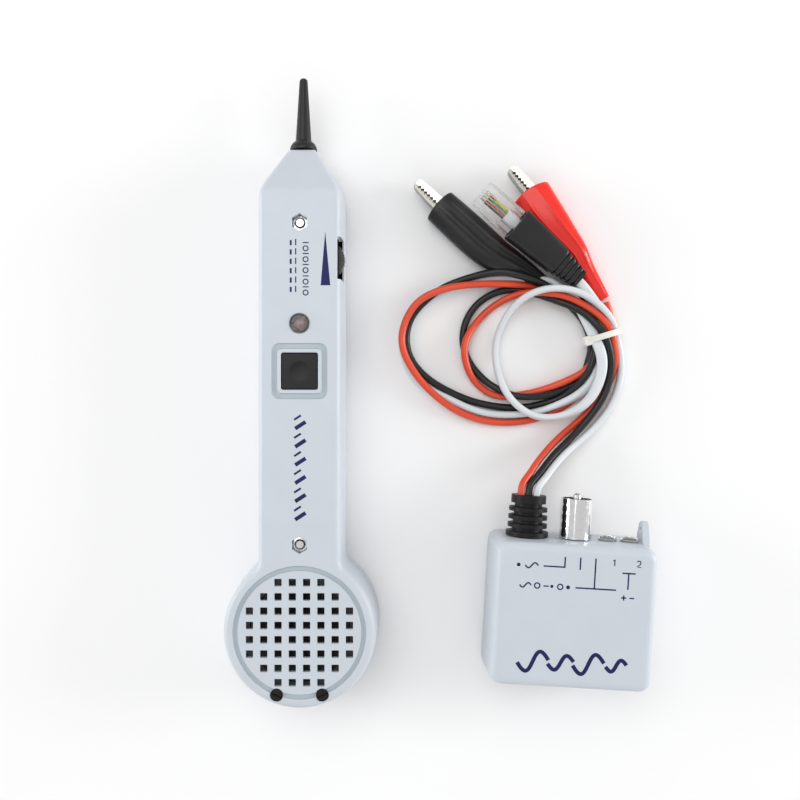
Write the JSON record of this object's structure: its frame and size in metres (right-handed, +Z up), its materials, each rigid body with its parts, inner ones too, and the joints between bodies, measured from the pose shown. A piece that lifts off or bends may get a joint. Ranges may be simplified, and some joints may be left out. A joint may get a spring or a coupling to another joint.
{
  "type": "tone probe kit",
  "caption": "Cable-tracing kit: a round-headed amplifier probe with a pointed tip, and a tone generator with two clip leads and a modular plug on a bundled cord",
  "frame": {"origin": "Centre of the probe's round speaker head, on the surface that the kit lies on.", "axes": "+Y along the probe towards its tip, +X from the probe towards the generator, +Z up away from the table."},
  "size_m": [0.1685, 0.2488, 0.034],
  "materials": {
    "light_grey_plastic": "fine-grained moulded plastic",
    "black_plastic": "moulded, lightly polished",
    "board": "glass-fibre board with green mask",
    "clear_plastic": "clear, polished",
    "red_lamp": "tinted lamp",
    "speaker_steel": "zinc plated",
    "speaker_cone": "pressed paper",
    "battery_wrap": "printed metal wrap",
    "snap_vinyl": "soft vinyl",
    "brass": "plated",
    "bright_steel": "nickel plated",
    "spring_steel": "drawn wire",
    "black_vinyl": "soft vinyl, satin",
    "red_vinyl": "soft vinyl, glossy",
    "red_insulation": "wire insulation, satin",
    "grey_jacket": "flat cord jacket, satin",
    "nylon": "natural nylon",
    "switch_body": "moulded",
    "wire_colours": "yellow, green, red and black insulation"
  },
  "bodies": {
    "probe": {"probe_front_shell": "light_grey_plastic", "probe_rear_shell": "light_grey_plastic", "probe_tip": "black_plastic", "tip_contact": "brass", "probe_circuit_board": "board", "volume_pot": "black_plastic", "button_switch": "black_plastic", "led_lamp": "red_lamp", "led_lens": "clear_plastic", "speaker_basket": "speaker_steel", "speaker_cone": "speaker_cone", "speaker_magnet": "speaker_steel", "probe_battery": "battery_wrap", "probe_battery_snap": "snap_vinyl", "headset_terminals": "black_plastic", "terminal_inserts": "brass", "probe_case_bolts": "bright_steel", "probe_case_nuts": "bright_steel"},
    "power_button": {"power_button": "black_plastic"},
    "volume_wheel": {"volume_wheel": "black_plastic"},
    "generator": {"generator_front_shell": "light_grey_plastic", "generator_rear_shell": "light_grey_plastic", "generator_circuit_board": "board", "generator_battery": "battery_wrap", "generator_battery_snap": "snap_vinyl", "strain_relief": "black_vinyl", "toggle_switch_body": "switch_body", "toggle_nut": "bright_steel", "toggle_guard": "bright_steel", "line_1_led": "clear_plastic", "line_2_led": "clear_plastic", "generator_case_screw": "bright_steel", "red_lead": "red_insulation", "black_lead": "black_vinyl", "line_cord": "grey_jacket", "cable_tie": "nylon", "red_clip_fixed_jaw": "bright_steel", "red_clip_spring": "spring_steel", "red_clip_rivet": "bright_steel", "red_clip_boot": "red_vinyl", "black_clip_fixed_jaw": "bright_steel", "black_clip_spring": "spring_steel", "black_clip_rivet": "bright_steel", "black_clip_boot": "black_vinyl", "modular_plug": "clear_plastic", "plug_contacts": "brass", "plug_conductors": "wire_colours", "plug_boot": "black_vinyl"},
    "toggle_lever": {"toggle_lever": "bright_steel"},
    "red_clip_jaw": {"red_clip_moving_jaw": "bright_steel"},
    "black_clip_jaw": {"black_clip_moving_jaw": "bright_steel"},
    "plug_latch": {"plug_latch": "clear_plastic"}
  },
  "joints": [
    {"name": "power_button_press", "type": "slide", "parent": "probe", "child": "power_button", "axis": [0, 0, -1], "range_m": [0, 0.001], "stiffness_N_per_m": 900, "springref_m": -0.0002},
    {"name": "volume_wheel_turn", "type": "hinge", "parent": "probe", "child": "volume_wheel", "pos_m": [0.0091, 0.1443, 0.02], "axis": [0, 0, 1], "range_deg": [-140, 140]},
    {"name": "generator_lift", "type": "slide", "parent": "probe", "child": "generator", "axis": [0, 0, 1], "range_m": [0, 0.1]},
    {"name": "toggle_throw", "type": "hinge", "parent": "generator", "child": "toggle_lever", "pos_m": [0.10832, 0.03197, 0.017], "axis": [0, 0, 1], "range_deg": [-9, 9]},
    {"name": "red_jaw_open", "type": "hinge", "parent": "generator", "child": "red_clip_jaw", "pos_m": [0.09582, 0.17138, 0.0049], "axis": [0, 0, 1], "range_deg": [0, 22], "stiffness_Nm_per_rad": 0.02, "springref_deg": -17.19, "deforming": ["red_clip_spring"]},
    {"name": "black_jaw_open", "type": "hinge", "parent": "generator", "child": "black_clip_jaw", "pos_m": [0.05808, 0.16662, 0.0049], "axis": [0, 0, 1], "range_deg": [0, 22], "stiffness_Nm_per_rad": 0.02, "springref_deg": -17.19, "deforming": ["black_clip_spring"]},
    {"name": "plug_latch_press", "type": "hinge", "parent": "generator", "child": "plug_latch", "pos_m": [0.07191, 0.17106, 0.01315], "axis": [-0.6293, -0.7771, 0], "range_deg": [0, 8], "stiffness_Nm_per_rad": 0.01, "springref_deg": -2.86}
  ]
}
